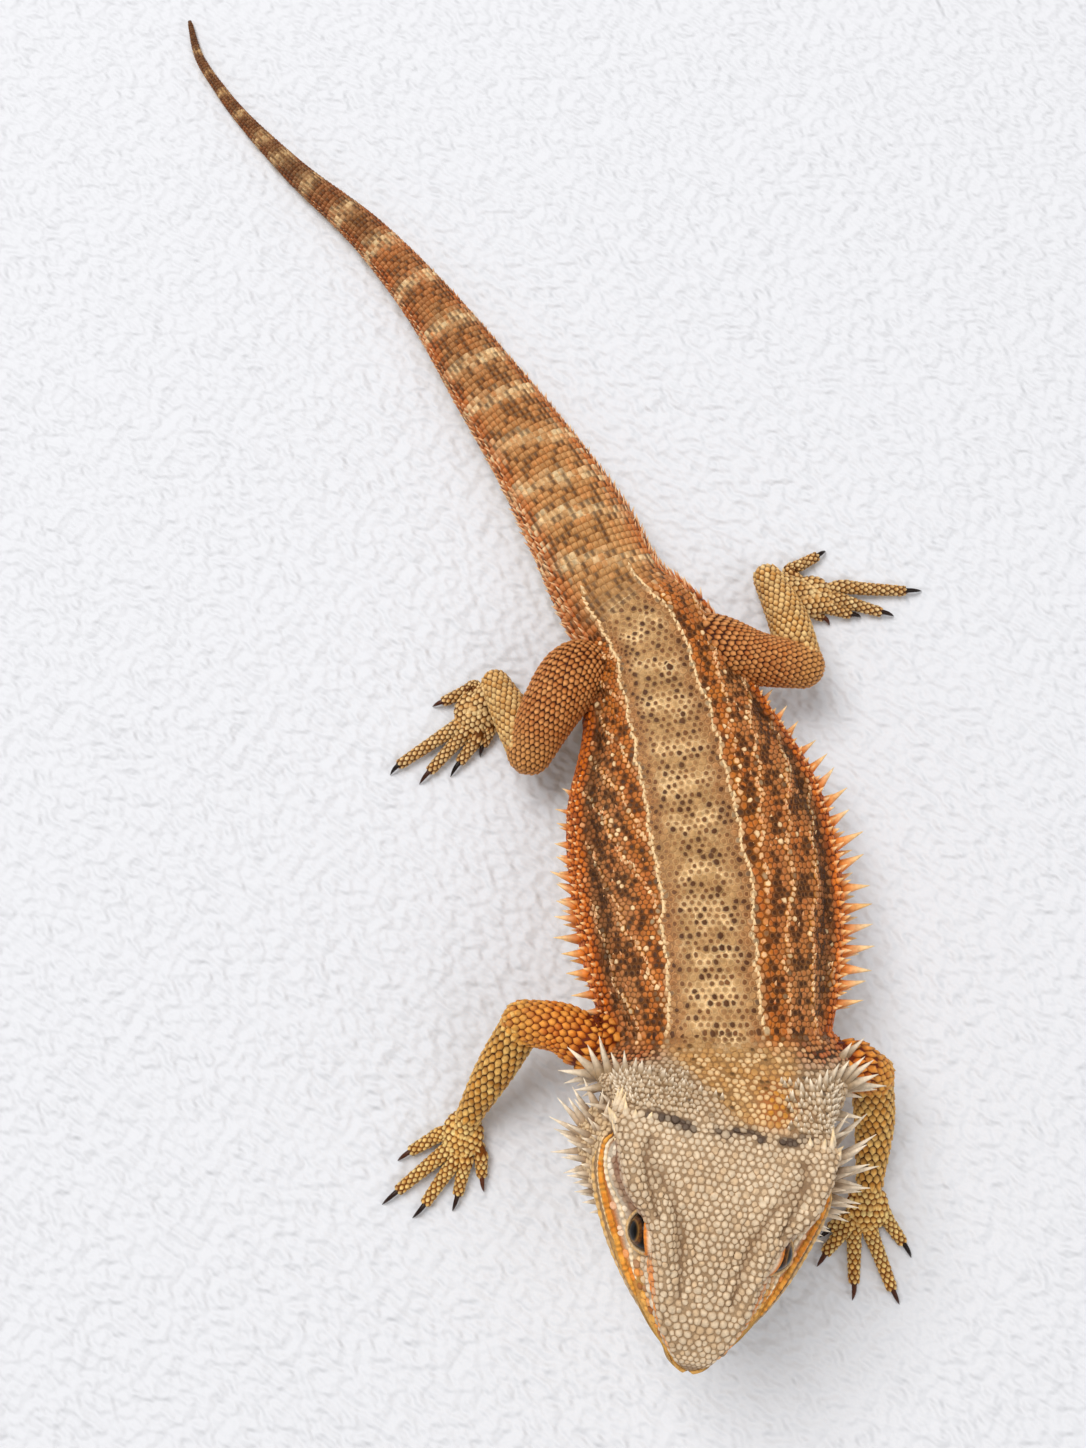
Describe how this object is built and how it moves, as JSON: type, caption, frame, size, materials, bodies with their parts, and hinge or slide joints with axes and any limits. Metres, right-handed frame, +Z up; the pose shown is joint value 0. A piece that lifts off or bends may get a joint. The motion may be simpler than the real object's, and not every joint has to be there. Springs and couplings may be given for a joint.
{
  "type": "bearded dragon",
  "caption": "Life-size still model of an adult bearded dragon lying on the floor with its head raised and legs spread.",
  "frame": {"origin": "middle of the bounding box at floor level", "axes": "+Z up, the head toward -Y and the tail toward +Y, +X on the animal's left side"},
  "size_m": [0.2599, 0.455, 0.0815],
  "materials": {
    "head_scales": "dry pebbled scales, warm grey",
    "back_scales": "dry keeled scales, rust orange and tan",
    "tail_scales": "dry keeled scales, tan with brown bands",
    "limb_scales": "dry keeled scales, orange and yellow, claws black-brown",
    "eye": "wet and glossy"
  },
  "bodies": {
    "root": {"head": "head_scales", "lower_jaw": "head_scales", "eye_right": "eye", "eye_left": "eye", "neck": "head_scales", "chest": "back_scales", "belly": "back_scales", "pelvis": "back_scales", "tail_base": "tail_scales", "tail_middle": "tail_scales", "tail_end": "tail_scales", "tail_tip": "tail_scales", "fore_right_upper_arm": "limb_scales", "fore_right_forearm": "limb_scales", "fore_right_hand": "limb_scales", "fore_left_upper_arm": "limb_scales", "fore_left_forearm": "limb_scales", "fore_left_hand": "limb_scales", "hind_right_thigh": "limb_scales", "hind_right_shank": "limb_scales", "hind_right_foot": "limb_scales", "hind_left_thigh": "limb_scales", "hind_left_shank": "limb_scales", "hind_left_foot": "limb_scales"}
  },
  "joints": []
}
